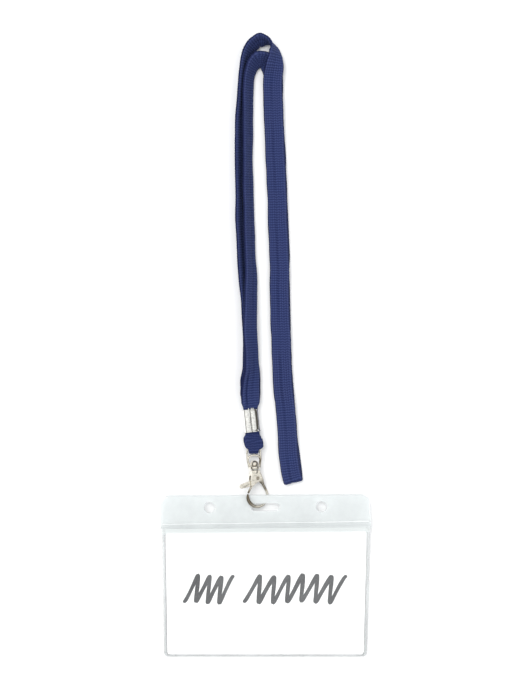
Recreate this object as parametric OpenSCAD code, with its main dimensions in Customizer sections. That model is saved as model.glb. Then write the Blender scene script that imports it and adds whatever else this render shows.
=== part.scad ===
// Lanyard badge holder: knit neck strap, crimp, swivel trigger hook and a clear card pocket.
// Millimetres, +Z up, lying on a table with the strap at +Y and the pocket at -Y.

/* [Strap] */
// Width of the neck strap
strap_w = 9.8; // [9.4:0.1:10]
// Thickness of the strap where it lies free
strap_t = 1.6; // [1.2:0.1:1.6]

/* [Crimp] */
// Width of the crimp sleeve outside
crimp_w = 8; // [8:0.1:9]
// Height of the crimp sleeve along the strap
crimp_len = 11.4; // [9:0.2:11.6]
// Sheet thickness of the crimp sleeve
crimp_sheet = 0.5; // [0.3:0.05:0.55]

/* [Hook] */
// Wire diameter of the bail
bail_wire = 1.1; // [0.8:0.05:1.15]
// Distance between the bail's arms, centre to centre
bail_span = 6.4; // [6.4:0.1:7]
// Diameter of the swivel stud's shank
stud_d = 2; // [1.6:0.1:2.2]
// Radius of the hook's ring, to the middle of the wire
ring_r = 5.4; // [5.2:0.1:5.5]
// Diameter of the ring's wire
ring_wire = 1.6; // [1.3:0.1:1.7]
// Thickness of the hook's body
body_t = 3.4; // [3.2:0.1:4]
// Diameter of the rivet that the gate turns on
rivet_d = 1.3; // [1.1:0.1:1.5]

/* [Holder] */
// Width of the header flaps
header_w = 104.2; // [100:0.2:104.4]
// Height of the header flaps
header_h = 16.6; // [16.2:0.1:17]
// Thickness of one header flap
flap_t = 0.5; // [0.3:0.05:0.55]
// Width of the pocket
pocket_w = 102.8; // [100.6:0.2:103]
// Height of the pocket under the header
pocket_h = 64.9; // [64.4:0.1:65.4]
// Thickness of one clear film
film_t = 0.35; // [0.2:0.05:0.4]
// Width of the slot for the hook
slot_w = 14; // [14:0.2:16]
// Height of the slot for the hook
slot_h = 3.6; // [3.4:0.1:4]
// Diameter of the two round holes
hole_d = 5.4; // [4:0.1:6]

/* [Card] */
// Width of the card
card_w = 99; // [94:0.5:99.5]
// Height of the card
card_h = 61.6; // [60:0.1:61.8]
// Thickness of the card
card_t = 0.36; // [0.2:0.02:0.4]

/* [Hidden] */
$fn = 48;
EPS = 0.01;

// The hook's long axis: the middle of the bail's bow, its lean on the table and its roll
BOW = [-5.65, -51.9, 3.6];
HOOK_LEAN = 3.4;
HOOK_ROLL = 25;

// Crimp: its middle, lean and roll
CRIMP_MID = [-6.8, -37.4, 3.7];
CRIMP_LEAN = 6;
CRIMP_ROLL = 20;
crimp_t = 4.45;
SEAM_W = 0.3;
TOOTH_W = 1;
TOOTH_H = 0.9;

// Stations down the hook's axis, from the bow
CROSSBAR_V = -2.95;
BASE_ARM_U = 2.45;
HEAD_TOP_V = -5.4;
HEAD_MID_V = -7;
HEAD_END_V = -8.15;
BASE_TOP_V = -8.3;
BASE_END_V = -9.6;
WASHER_END_V = -10.1;
COLLAR_V = -10.2;
SHOULDER_V = -11.4;
head_r = 1.95;
base_r = 2.7;
collar_r = 2.3;
SWIVEL_CLEAR = 0.06;

// Gate and ring, in the plane of the ring
PIVOT = [0.7, -14.3];
RING_MID = [0.75, -23.2];
RING_START = 25;
RING_END = -190;
RING_STEP = 20;
SPINE_LAP = 0.3;
SPINE_FAT = 0.03;
SPINE_TOP = [3.3, -15.9];
BODY_EDGE = [[-2.1, -11.2], [-2.7, -13], [-3.1, -15.2], [-3.2, -17.6], [-2.6, -18.7],
             [-0.6, -17.1], [1.9, -15.9], [3.1, -17.2], [4.1, -16.8], [3.7, -14.6],
             [3, -12.8], [2.3, -11.2]];
CAVITY = [[-5, -13.2], [-1, -12.6], [2.3, -12.6], [2.3, -15.2], [1.9, -19.5], [-5, -19.5]];
TAB_EDGE = [[-0.4, -13.8], [-3.9, -15.7], [-8, -16.7], [-8.7, -17.3], [-8.9, -18.1],
            [-8.4, -18.8], [-7.6, -18.9], [-3.9, -18.3], [-2.2, -18.2], [0.2, -15.4]];
ARM_TOP = [-0.9, -16.6];
ARM_TIP = [-4, -20.8];
gate_t = 1.05;
gate_z = 0.2;
cavity_t = 1.6;
arm_r = 0.6;
RIVET_CLEAR = 0.04;
SPRING_WIRE = 0.12;
SPRING_LEG = 0.09;
SPRING_TURN_R = 0.85;
BALL_FAT = 1.04;

// Holder: the slot's middle, the lift of the header and where things lie under its top edge
HEADER_TOP_Y = -74.4;
SLOT_MID = [0, -80.6];
HOLE_X = 27.8;
HEADER_Z = 3.28;
FOOT_Z = 0.62;
header_end_y = HEADER_TOP_Y - header_h;
pocket_end_y = header_end_y - pocket_h;
holder_tilt = atan((HEADER_Z - FOOT_Z) / (SLOT_MID[1] - pocket_end_y));
FLAP_GAP = 0.1;
WELD_T = 0.5;
WELD_W = 1.2;
ZIP_Y = -88.5;
ZIP_RIB_R = 0.22;
ZIP_LIP_R = 0.2;
CORNER_TOP_R = 3.5;
CORNER_END_R = 2.5;
CARD_REST_Y = -154.6;
CARD_CORNER = 1.5;

// Strap route: x, y, z, heading and lift of the strap's width, width, thickness.
// It starts at the back of the crimp, goes round the bail, up the left side, round the neck,
// down the right side, folds, comes back over itself and ends in the middle of the crimp.
ROUTE = [
  [-7.7, -32.4, 2.65, 180, 20, 6.8, 1.05], [-6.5, -43.6, 2.65, 180, 20, 6.8, 1.05],
  [-6.1, -46.5, 2.3, 180, 10, 9.2, 1.3], [-5.8, -49, 2.1, 180, 3, 8.8, 1.3],
  [-5.6, -51.9, 2.1, 180, 0, 4.9, 1.3], [-5.6, -53, 2.5, 180, 0, 4.9, 1.3],
  [-5.6, -53.4, 3.6, 180, 0, 4.9, 1.3], [-5.6, -53, 4.7, 180, 0, 4.9, 1.3],
  [-5.6, -51.9, 5.1, 180, 0, 4.9, 1.3], [-5.6, -49, 5.1, 180, 3, 9.2, 1.3],
  [-6, -46.5, 5, 180, 10, 9.7, 1.4], [-5.8, -43.6, 4.75, 180, 20, 6.8, 1.05],
  [-7.1, -31.2, 4.75, 180, 20, 6.8, 1.05], [-7.2, -28.5, 5.1, 180, 21, 8.6, 1.4],
  [-7.4, -18, 5.6, 180, 33, strap_w, strap_t], [-7.2, -10, 6.7, 180, 44, strap_w, strap_t],
  [-7.2, 5, 7, 180, 48, strap_w, strap_t], [-7.1, 18, 6.6, 180, 50, strap_w, strap_t],
  [-6.9, 35, 5.4, 180, 53, strap_w, strap_t], [-7.5, 50, 5.1, 180, 58, strap_w, strap_t],
  [-8.1, 70, 4.9, 180, 61, strap_w, strap_t], [-8.5, 98, 4.9, 180, 61, strap_w, strap_t],
  [-8.2, 129, 4.9, 176, 61, strap_w, strap_t], [-7.3, 137, 4.7, 150, 56, strap_w, strap_t],
  [-5.6, 140.8, 4.5, 130, 46, strap_w, strap_t], [-2.8, 143.2, 4.2, 106, 38, strap_w, strap_t],
  [0.5, 142.7, 3.6, 75, 35, strap_w, strap_t], [3, 139.6, 2.1, 38, 14, strap_w, strap_t],
  [4.2, 134.8, 1.1, 10, 3, strap_w, strap_t], [4.1, 128, 0.9, 0, 0, strap_w, strap_t],
  [5.6, 95, 0.85, 0, 0, strap_w, strap_t], [7.4, 50, 0.85, 0, 0, strap_w, strap_t],
  [8.2, 5, 0.85, 0, 0, strap_w, strap_t], [9.2, -17, 0.85, 3, 0, strap_w, strap_t],
  [10.9, -37, 0.85, 5, 0, strap_w, strap_t], [12.9, -57, 0.85, 7, 0, strap_w, strap_t],
  [14.1, -66.6, 0.85, 11, 0, strap_w, 1.5], [14.2, -67.5, 1.1, 12, 0, strap_w, 1.5],
  [14.2, -67.9, 1.75, 12, 0, strap_w, 1.5], [14.1, -67.5, 2.4, 12, 0, strap_w, 1.5],
  [13.8, -66.6, 2.65, 11, 0, strap_w, 1.5], [12.3, -57, 2.65, 7, 0, strap_w, strap_t],
  [10.8, -37, 2.65, 5, 0, strap_w, strap_t], [9, -17, 2.65, 3, 0, strap_w, strap_t],
  [8, 5, 2.65, 0, 0, strap_w, strap_t], [7, 50, 2.65, 0, 0, strap_w, strap_t],
  [5.3, 95, 2.65, 0, 0, strap_w, strap_t], [4.1, 128, 2.8, 0, 0, strap_w, strap_t],
  [4.4, 136, 4.1, 0, -9, strap_w, strap_t], [5, 141, 5.9, 0, -28, strap_w, strap_t],
  [5.3, 144.6, 6, 0, -46, strap_w, strap_t], [5, 147.8, 5.4, 0, -61, strap_w, strap_t],
  [3.5, 150.8, 5, 0, -81, strap_w, strap_t], [0.9, 152.4, 4.9, -100, -74, strap_w, strap_t],
  [-2.2, 152.8, 4.6, -90, -54, strap_w, strap_t], [-5.2, 150.9, 4.6, -60, -54, strap_w, strap_t],
  [-7.8, 147.6, 4.7, -36, -58, strap_w, strap_t], [-9.3, 143.4, 4.8, -18, -60, strap_w, strap_t],
  [-10.2, 138, 4.9, -6, -63, strap_w, strap_t], [-11.2, 129, 4.9, 0, -63, strap_w, strap_t],
  [-12.4, 98, 4.9, 0, -63, strap_w, strap_t], [-12.2, 70, 4.9, 0, -62, strap_w, strap_t],
  [-11.3, 50, 4.9, 0, -59, strap_w, strap_t], [-10.2, 35, 4.6, 0, -55, strap_w, strap_t],
  [-8.4, 18, 4.3, 0, -50, strap_w, strap_t], [-7.7, 5, 4.2, 0, -48, strap_w, strap_t],
  [-7.3, -10, 4.1, 0, -44, strap_w, strap_t], [-8, -18, 3.6, 0, -33, strap_w, strap_t],
  [-7.7, -28.5, 3.5, 0, -21, 8.6, 1.4], [-7.5, -31.2, 3.7, 0, -20, 6.8, 1.05],
  [-6.3, -42, 3.7, 0, -20, 6.8, 1.05]
];

function unit(v) = v / norm(v);
function place(i) = [ROUTE[i][0], ROUTE[i][1], ROUTE[i][2]];
function aim(i) = [cos(ROUTE[i][4]) * cos(ROUTE[i][3]), cos(ROUTE[i][4]) * sin(ROUTE[i][3]),
                   sin(ROUTE[i][4])];
function step(i) = unit(place(i + 1) - place(i));
function heading(i) = i == 0 ? step(0) : i == len(ROUTE) - 1 ? step(i - 1)
                    : unit(step(i - 1) + step(i));
function across(i) = unit(aim(i) - (aim(i) * heading(i)) * heading(i));

// Eight points round the flat strap: full in the middle, with rolled edges
function strap_section(w, t) = [[w / 2, -t / 5], [w / 2, t / 5], [w / 2 - t / 3, t / 2],
                                [-w / 2 + t / 3, t / 2], [-w / 2, t / 5], [-w / 2, -t / 5],
                                [-w / 2 + t / 3, -t / 2], [w / 2 - t / 3, -t / 2]];
function strap_ring(i) = [for (p = strap_section(ROUTE[i][5], ROUTE[i][6]))
    place(i) + p[0] * across(i) + p[1] * cross(heading(i), across(i))];

module tube_between(a, b, r) {
    run = b - a;
    translate([a[0], a[1], 0])
        rotate([0, 0, atan2(run[1], run[0])])
            rotate([0, 90, 0])
                cylinder(r = r, h = norm(run));
}

// A ball a hair larger than the wire, so that the two meet in a clean circle
module ball_at(p, r) {
    translate([p[0], p[1], 0])
        sphere(r = r * BALL_FAT);
}

module slab_outline(w, h, r) {
    square([w - 2 * r, h], center = true);
    square([w, h - 2 * r], center = true);
    for (x = [-1, 1], y = [-1, 1])
        translate([x * (w / 2 - r), y * (h / 2 - r)])
            circle(r = r);
}

// Turns a shape about Z into one about Y, so that its height runs along the hook's axis
module along_axis(v) {
    translate([0, v, 0])
        rotate([-90, 0, 0])
            children();
}

module at_bow() {
    translate(BOW)
        rotate([0, 0, HOOK_LEAN])
            children();
}

module at_hook() {
    at_bow()
        rotate([0, HOOK_ROLL, 0])
            children();
}

module at_crimp() {
    translate(CRIMP_MID)
        rotate([0, 0, CRIMP_LEAN])
            rotate([0, CRIMP_ROLL, 0])
                children();
}

// The holder's own plane: Y as in the whole, Z = 0 in the middle between its films
module at_holder() {
    translate([0, pocket_end_y, FOOT_Z])
        rotate([holder_tilt, 0, 0])
            translate([0, -pocket_end_y, 0])
                children();
}

module neck_strap() {
    rings = len(ROUTE);
    sides = len(strap_section(strap_w, strap_t));
    points = [for (i = [0 : rings - 1]) each strap_ring(i)];
    skin = [for (i = [0 : rings - 2], k = [0 : sides - 1])
        let (a = i * sides + k, b = i * sides + (k + 1) % sides)
            each [[a, a + sides, b + sides], [a, b + sides, b]]];
    first_cap = [for (k = [0 : sides - 1]) k];
    last_cap = [for (k = [sides - 1 : -1 : 0]) (rings - 1) * sides + k];
    color("midnightblue")
        polyhedron(points = points, faces = concat(skin, [first_cap, last_cap]), convexity = 10);
}

module crimp_sleeve() {
    inner_w = crimp_w - 2 * crimp_sheet;
    inner_t = crimp_t - 2 * crimp_sheet;
    color("silver")
        at_crimp() {
            translate([0, crimp_len / 2, 0])
                rotate([90, 0, 0])
                    linear_extrude(crimp_len)
                        difference() {
                            slab_outline(crimp_w, crimp_t, 1);
                            slab_outline(inner_w, inner_t, 0.6);
                            translate([-SEAM_W / 2, 0])
                                square([SEAM_W, crimp_t]);
                        }
            for (x = [-2.2, 0.9])
                translate([x, crimp_len / 2 - EPS, crimp_t / 2 - crimp_sheet])
                    linear_extrude(crimp_sheet)
                        polygon([[0, 0], [TOOTH_W, 0], [TOOTH_W / 2, TOOTH_H]]);
        }
}

module swivel_bail() {
    inside = (bail_span - bail_wire) / 2;
    outside = (bail_span + bail_wire) / 2;
    plate_t = bail_wire - 0.1;
    color("gainsboro")
        at_bow() {
            tube_between([-inside - 0.4, 0], [inside + 0.4, 0], bail_wire / 2);
            translate([0, 0, -plate_t / 2])
                linear_extrude(plate_t) {
                    for (side = [0, 1])
                        mirror([side, 0])
                            polygon([[inside, 0.45], [outside - 0.5, 0.45], [outside, -0.05],
                                     [outside, -4.1], [BASE_ARM_U + 0.5, -9],
                                     [BASE_ARM_U - 0.5, -9], [inside, -3.9]]);
                    polygon([[-inside - 0.2, CROSSBAR_V - 0.9], [-1, CROSSBAR_V - 0.4],
                             [1, CROSSBAR_V - 0.4], [inside + 0.2, CROSSBAR_V - 0.9],
                             [inside + 0.2, CROSSBAR_V - 0.2], [1, CROSSBAR_V + 0.4],
                             [-1, CROSSBAR_V + 0.4], [-inside - 0.2, CROSSBAR_V - 0.2]]);
                }
            along_axis(BASE_END_V)
                difference() {
                    cylinder(r = base_r, h = BASE_TOP_V - BASE_END_V);
                    translate([0, 0, -1])
                        cylinder(r = stud_d / 2 + SWIVEL_CLEAR, h = 4);
                }
        }
}

module swivel_stud() {
    dome_h = HEAD_TOP_V - HEAD_MID_V;
    dome = [for (a = [0 : 15 : 75]) [head_r * cos(a), HEAD_MID_V + dome_h * sin(a)]];
    color("lightgray")
        at_hook()
            rotate([-90, 0, 0])
                rotate_extrude()
                    polygon(concat([[0, SHOULDER_V], [stud_d / 2, SHOULDER_V],
                                    [stud_d / 2, HEAD_END_V], [head_r - 0.4, HEAD_END_V],
                                    [head_r, HEAD_END_V + 0.4]], dome, [[0, HEAD_TOP_V]]));
}

module stud_washer() {
    color("gray")
        at_hook()
            along_axis(WASHER_END_V)
                difference() {
                    cylinder(r = collar_r, h = 0.4);
                    translate([0, 0, -1])
                        cylinder(r = stud_d / 2 + SWIVEL_CLEAR, h = 4);
                }
}

module hook_body() {
    collar_h = COLLAR_V - SHOULDER_V + 0.3;
    wire_r = ring_wire / 2;
    ring_start = RING_MID + ring_r * [cos(RING_START), sin(RING_START)];
    spine_end = ring_start + SPINE_LAP * unit(ring_start - SPINE_TOP);
    ring_section = [for (a = [0 : RING_STEP : 360 - RING_STEP])
        [ring_r + wire_r * cos(a), wire_r * sin(a)]];
    color("gainsboro")
        at_hook() {
            difference() {
                union() {
                    along_axis(COLLAR_V - collar_h)
                        cylinder(r = collar_r, h = collar_h);
                    translate([0, 0, -body_t / 2])
                        linear_extrude(body_t)
                            polygon(BODY_EDGE);
                }
                along_axis(SHOULDER_V - 0.02)
                    cylinder(r = stud_d / 2 + 0.02, h = 4);
                translate([0, 0, -cavity_t / 2])
                    linear_extrude(cavity_t)
                        polygon(CAVITY);
                translate([PIVOT[0], PIVOT[1], -body_t])
                    cylinder(r = rivet_d / 2 + 0.01, h = 2 * body_t);
            }
            tube_between(SPINE_TOP, spine_end, wire_r + SPINE_FAT);
            translate([RING_MID[0], RING_MID[1], 0])
                rotate([0, 0, RING_END])
                    rotate_extrude(angle = RING_START - RING_END)
                        polygon(ring_section);
        }
}

module gate_lever() {
    color("whitesmoke")
        at_hook() {
            difference() {
                translate([0, 0, gate_z - gate_t / 2])
                    linear_extrude(gate_t)
                        union() {
                            translate(PIVOT)
                                circle(r = 1.4);
                            polygon(TAB_EDGE);
                        }
                translate([PIVOT[0], PIVOT[1], -body_t])
                    cylinder(r = rivet_d / 2 + RIVET_CLEAR, h = 2 * body_t);
            }
            ball_at(ARM_TOP, arm_r);
            tube_between(ARM_TOP, ARM_TIP, arm_r);
            ball_at(ARM_TIP, arm_r);
        }
}

module gate_rivet() {
    head_h = 0.3;
    color("tan")
        at_hook()
            translate([PIVOT[0], PIVOT[1], 0]) {
                cylinder(r = rivet_d / 2, h = body_t, center = true);
                for (side = [0, 1])
                    mirror([0, 0, side])
                        translate([0, 0, body_t / 2])
                            cylinder(r1 = rivet_d / 2 + 0.25, r2 = rivet_d / 2 - 0.1, h = head_h);
            }
}

module gate_spring() {
    turn_gap = 0.02;
    leg_z = -cavity_t / 2 + SPRING_WIRE + turn_gap;
    color("dimgray")
        at_hook()
            translate([PIVOT[0], PIVOT[1], leg_z]) {
                rotate_extrude()
                    translate([SPRING_TURN_R, 0])
                        circle(r = SPRING_WIRE, $fn = 16);
                for (leg = [[150, 1.2], [225, 2.6]])
                    rotate([0, 0, leg[0]])
                        tube_between([SPRING_TURN_R, 0], [SPRING_TURN_R + leg[1], 0], SPRING_LEG);
            }
}

module header_outline() {
    mid_y = HEADER_TOP_Y - header_h / 2;
    translate([0, mid_y - CORNER_TOP_R / 2])
        square([header_w, header_h - CORNER_TOP_R], center = true);
    translate([0, HEADER_TOP_Y - CORNER_TOP_R])
        square([header_w - 2 * CORNER_TOP_R, 2 * CORNER_TOP_R], center = true);
    for (x = [-1, 1])
        translate([x * (header_w / 2 - CORNER_TOP_R), HEADER_TOP_Y - CORNER_TOP_R])
            circle(r = CORNER_TOP_R);
}

module flap() {
    linear_extrude(flap_t)
        difference() {
            header_outline();
            translate(SLOT_MID)
                slab_outline(slot_w, slot_h, slot_h / 2 - EPS);
            for (x = [-HOLE_X, HOLE_X])
                translate([x, SLOT_MID[1]])
                    circle(d = hole_d);
        }
}

module bead(y, z, r) {
    translate([0, y, z])
        rotate([0, 90, 0])
            cylinder(r = r, h = header_w - 2, center = true, $fn = 24);
}

module header_front() {
    color("aliceblue", 0.6)
        at_holder() {
            translate([0, 0, FLAP_GAP / 2])
                flap();
            bead(ZIP_Y, FLAP_GAP / 2 + flap_t, ZIP_RIB_R);
        }
}

module header_back() {
    color("lightcyan", 0.6)
        at_holder() {
            translate([0, 0, -FLAP_GAP / 2 - flap_t])
                flap();
            for (y = [-1, 1])
                bead(ZIP_Y + y * 0.7, -FLAP_GAP / 2 - flap_t, ZIP_LIP_R);
        }
}

module pocket_outline(inset) {
    w = pocket_w - 2 * inset;
    r = CORNER_END_R - inset / 2;
    end_y = pocket_end_y + inset;
    h = header_end_y - end_y - EPS;
    translate([-w / 2, end_y + r])
        square([w, h - r]);
    translate([-w / 2 + r, end_y])
        square([w - 2 * r, h]);
    for (x = [-1, 1])
        translate([x * (w / 2 - r), end_y + r])
            circle(r = r);
}

module pocket_front() {
    color("azure", 0.4)
        at_holder()
            translate([0, 0, WELD_T / 2])
                linear_extrude(film_t)
                    pocket_outline(0);
}

module pocket_back() {
    color("azure", 0.4)
        at_holder()
            translate([0, 0, -WELD_T / 2 - film_t])
                linear_extrude(film_t)
                    pocket_outline(0);
}

module pocket_weld() {
    color("lightblue", 0.6)
        at_holder()
            translate([0, 0, -WELD_T / 2])
                linear_extrude(WELD_T)
                    difference() {
                        pocket_outline(0);
                        translate([0, EPS * 2])
                            pocket_outline(WELD_W);
                    }
}

module card_insert() {
    color("white")
        at_holder()
            translate([0, CARD_REST_Y + card_h / 2, -card_t / 2])
                linear_extrude(card_t)
                    slab_outline(card_w, card_h, CARD_CORNER);
}

neck_strap();
crimp_sleeve();
swivel_bail();
swivel_stud();
stud_washer();
hook_body();
gate_lever();
gate_rivet();
gate_spring();
header_front();
header_back();
pocket_front();
pocket_back();
pocket_weld();
card_insert();
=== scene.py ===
"""Looks of the lanyard badge holder: neck strap, crimp, swivel trigger hook, vinyl pocket and card."""

import math

import bmesh
import bpy
import numpy as np
from mathutils import Matrix, Vector


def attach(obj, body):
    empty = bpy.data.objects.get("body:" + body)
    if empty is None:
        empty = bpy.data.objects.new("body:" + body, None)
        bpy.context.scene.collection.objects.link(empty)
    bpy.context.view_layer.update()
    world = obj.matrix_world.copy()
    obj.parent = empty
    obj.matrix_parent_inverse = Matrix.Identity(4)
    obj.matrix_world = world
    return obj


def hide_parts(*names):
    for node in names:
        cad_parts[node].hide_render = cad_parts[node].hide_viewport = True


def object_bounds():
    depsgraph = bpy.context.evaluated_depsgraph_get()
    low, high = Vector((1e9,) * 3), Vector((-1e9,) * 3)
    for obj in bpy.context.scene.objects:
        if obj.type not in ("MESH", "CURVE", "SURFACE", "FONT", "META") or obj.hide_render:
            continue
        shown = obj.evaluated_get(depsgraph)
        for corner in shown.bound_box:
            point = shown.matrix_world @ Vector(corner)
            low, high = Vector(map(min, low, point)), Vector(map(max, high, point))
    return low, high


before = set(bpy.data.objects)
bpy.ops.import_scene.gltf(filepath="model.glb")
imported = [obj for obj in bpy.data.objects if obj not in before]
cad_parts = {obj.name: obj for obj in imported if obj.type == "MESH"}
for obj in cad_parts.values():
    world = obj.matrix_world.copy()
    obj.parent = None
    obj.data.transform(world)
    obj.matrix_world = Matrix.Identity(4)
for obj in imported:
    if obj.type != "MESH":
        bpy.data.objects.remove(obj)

cad_low, cad_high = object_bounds()
MM = 0.001

# ---- camera

SENSOR = 36
VIEW_HEIGHT = 0.350
CAMERA_LIFT = 1.0
# How high the plane of VIEW_HEIGHT is, and how far the view's middle is left of and below the object's
VIEW_PLANE, VIEW_LEFT, VIEW_DOWN = 3 * MM, 1.125 * MM, 2.1 * MM


def placed(name, data):
    """A new object, in the scene."""
    thing = bpy.data.objects.new(name, data)
    bpy.context.scene.collection.objects.link(thing)
    return thing


middle = (cad_low + cad_high) / 2
camera = placed("camera", bpy.data.cameras.new("camera"))
camera.data.sensor_width = SENSOR
camera.data.lens = SENSOR * CAMERA_LIFT / VIEW_HEIGHT
camera.location = (middle.x - VIEW_LEFT, middle.y - VIEW_DOWN, CAMERA_LIFT + VIEW_PLANE)
bpy.context.scene.camera = camera

# ---- node helpers


def put(tree, kind, values=None, **settings):
    """A new shader node, with its settings, and its inputs set or linked."""
    node = tree.nodes.new("ShaderNode" + kind)
    for name, value in settings.items():
        setattr(node, name, value)
    for name, value in (values or {}).items():
        if isinstance(value, bpy.types.NodeSocket):
            tree.links.new(value, node.inputs[name])
        else:
            node.inputs[name].default_value = value
    return node


def calc(tree, operation, *values):
    return put(tree, "Math", dict(enumerate(values)), operation=operation).outputs[0]


def plus(tree, a, b):
    return calc(tree, "ADD", a, b)


def times(tree, a, b):
    return calc(tree, "MULTIPLY", a, b)


def size_of(tree, value):
    return calc(tree, "ABSOLUTE", value)


def gap(tree, value, level):
    """How far a value is from a level, either way."""
    return size_of(tree, calc(tree, "SUBTRACT", value, level))


def wavy(tree, value, pitch):
    """A sine wave with one turn in each pitch."""
    return calc(tree, "SINE", times(tree, value, 2 * math.pi / pitch))


def between(tree, factor, a, b):
    """Colour a where factor is 0 and b where it is 1."""
    mix = put(tree, "Mix", {0: factor, 6: a, 7: b}, data_type="RGBA")
    return mix.outputs[2]


def span(tree, value, low, high, to_low=0.0, to_high=1.0):
    """The value's place between low and high, as a number between to_low and to_high."""
    values = {0: value, 1: low, 2: high, 3: to_low, 4: to_high}
    return put(tree, "MapRange", values).outputs[0]


def noise(tree, where, scale, detail=3.0, roughness=0.55):
    values = {"Vector": where, "Scale": scale, "Detail": detail, "Roughness": roughness}
    return put(tree, "TexNoise", values).outputs["Fac"]


def bumped(tree, height, distance, strength=1.0):
    values = {"Height": height, "Distance": distance, "Strength": strength}
    return put(tree, "Bump", values).outputs[0]


def stretched(tree, where, scale):
    return put(tree, "Mapping", {"Vector": where, "Scale": scale}).outputs[0]


def look(name):
    """A new material: its tree, the object's coordinates in millimetres, and a setter of its surface."""
    material = bpy.data.materials.new(name)
    material.use_nodes = True
    tree = material.node_tree
    tree.nodes.clear()
    coords = put(tree, "TexCoord").outputs["Object"]
    where = stretched(tree, coords, (1000, 1000, 1000))

    def surface(values):
        shader = put(tree, "BsdfPrincipled", values)
        out = put(tree, "OutputMaterial")
        tree.links.new(shader.outputs[0], out.inputs["Surface"])
        return material

    return tree, where, surface


# ---- knit material

# Millimetres along the strap from its start, or across it from its middle
RIB_PITCH, WALE_PITCH = 1.27, 1.15
CHEVRON_START = 6.2
CHEVRON_RISES = (-1.4, 0.2)
# EDGE_LINE is where a painted highlight runs along each edge
EDGE_LINE, EDGE_LINE_HALF = 4.1, (0.1, 0.35)
# RIM is where painted shade darkens the outer edges
RIM = (4.4, 4.72)
# GROOVE_LEFT, CREASE and CRIMP_SHADE place painted shade in the groove, in the crease and by the crimp
GROOVE_LEFT, GROOVE_HALF = 0.85, (0.12, 0.6)
CREASE, CREASE_HALF = 2.4, (0.1, 0.55)
CREASE_COMES, CREASE_GOES = (44, 49), (60, 68)
CRIMP_SHADE = (34, 42)

NAVY_DEEP = (0.006, 0.012, 0.056, 1), (0.010, 0.016, 0.062, 1)
NAVY_PALE = (0.040, 0.060, 0.178, 1), (0.050, 0.064, 0.172, 1)
# Painted highlight along the strap's edges
NAVY_HIGHLIGHT = (0.10, 0.115, 0.25, 1)
# Painted shade at the strap's outer edges
NAVY_RIM_SHADE = (0.004, 0.006, 0.035, 1)
# Painted shade in the groove, the crease and by the crimp
NAVY_PAINTED_SHADE = (0.004, 0.008, 0.045, 1)


def knit_stitches(tree, where, across, along, patch):
    """Cross ribs that sway in a chevron, mostly in the right half, over lengthwise wales."""
    zigzag = calc(tree, "PINGPONG", plus(tree, across, CHEVRON_START), WALE_PITCH)
    right_half = span(tree, across, *CHEVRON_RISES, 0.25, 1.0)
    reach = times(tree, span(tree, patch, 0.35, 0.65, 0.2, 0.6), right_half)
    rib = wavy(tree, plus(tree, along, times(tree, zigzag, reach)), RIB_PITCH)
    wale = wavy(tree, across, WALE_PITCH)
    stitch = times(tree, rib, span(tree, wale, -1.0, 1.0, 0.55, 1.0))
    stretch = span(tree, noise(tree, where, 0.045, 1.0), 0.42, 0.62, 0.16, 0.48)
    return rib, plus(tree, times(tree, stitch, 0.8), times(tree, wale, stretch))


def knit_painted_shade(tree, where, across, along, rib):
    """Painted shade: how dark the strap is in its groove, in the crease above the crimp, and at the crimp."""
    depth = span(tree, noise(tree, where, 0.03, 1.0), 0.42, 0.6, 0.15, 0.85)
    off_groove = size_of(tree, plus(tree, across, GROOVE_LEFT))
    groove = times(tree, depth, span(tree, off_groove, *GROOVE_HALF, 1.0, 0.0))
    dotted = times(tree, groove, span(tree, rib, -1.0, 0.6, 1.0, 0.35))
    comes = span(tree, along, *CREASE_COMES, 0.0, 0.8)
    goes = span(tree, along, *CREASE_GOES, 1.0, 0.0)
    line = span(tree, gap(tree, across, CREASE), *CREASE_HALF, 1.0, 0.0)
    crease = times(tree, times(tree, comes, goes), line)
    crimp = span(tree, along, *CRIMP_SHADE, 0.28, 0.0)
    return calc(tree, "MAXIMUM", calc(tree, "MAXIMUM", dotted, crease), crimp)


def knit_look():
    """Tubular polyester knit: cross ribs, chevron stitches, lengthwise wales and loose fibres, with a painted
    highlight along its edges and painted shade on its outer edges, in its groove and crease, and by the
    crimp.
    """
    tree, where, surface = look("strap_knit_look")
    uv = put(tree, "UVMap", uv_map="knit").outputs[0]
    parts = put(tree, "SeparateXYZ", {0: uv})
    across, along = parts.outputs[0], parts.outputs[1]
    patch = noise(tree, where, 0.11, 2.0)
    rib, lines = knit_stitches(tree, where, across, along, patch)
    fibre = noise(tree, stretched(tree, uv, (7.0, 2.2, 1.0)), 1.6, 4.0, 0.7)
    shade = plus(tree, lines, span(tree, fibre, 0.3, 0.7, -0.5, 0.5))
    deep, pale = between(tree, patch, *NAVY_DEEP), between(tree, patch, *NAVY_PALE)
    woven = between(tree, span(tree, shade, -1.15, 1.15), deep, pale)
    outward = size_of(tree, across)
    # A painted highlight along each edge
    edge_highlight = span(tree, gap(tree, outward, EDGE_LINE), *EDGE_LINE_HALF, 0.14, 0.0)
    highlighted = between(tree, edge_highlight, woven, NAVY_HIGHLIGHT)
    # Painted shade on the outer edges
    rim_shaded = between(tree, span(tree, outward, *RIM, 0.0, 0.8), highlighted, NAVY_RIM_SHADE)
    height = plus(tree, lines, times(tree, fibre, 0.5))
    return surface({
        # Painted shade in the groove, the crease and by the crimp
        "Base Color": between(tree, knit_painted_shade(tree, where, across, along, rib), rim_shaded, NAVY_PAINTED_SHADE),
        "Roughness": span(tree, fibre, 0.3, 0.7, 0.72, 0.9),
        "Specular IOR Level": 0.14,
        "Sheen Weight": 0.08,
        "Sheen Roughness": 0.4,
        "Sheen Tint": (0.45, 0.55, 0.95, 1),
        "Normal": bumped(tree, height, 0.07 * MM, 0.9),
    })


# ---- metal materials


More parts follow.
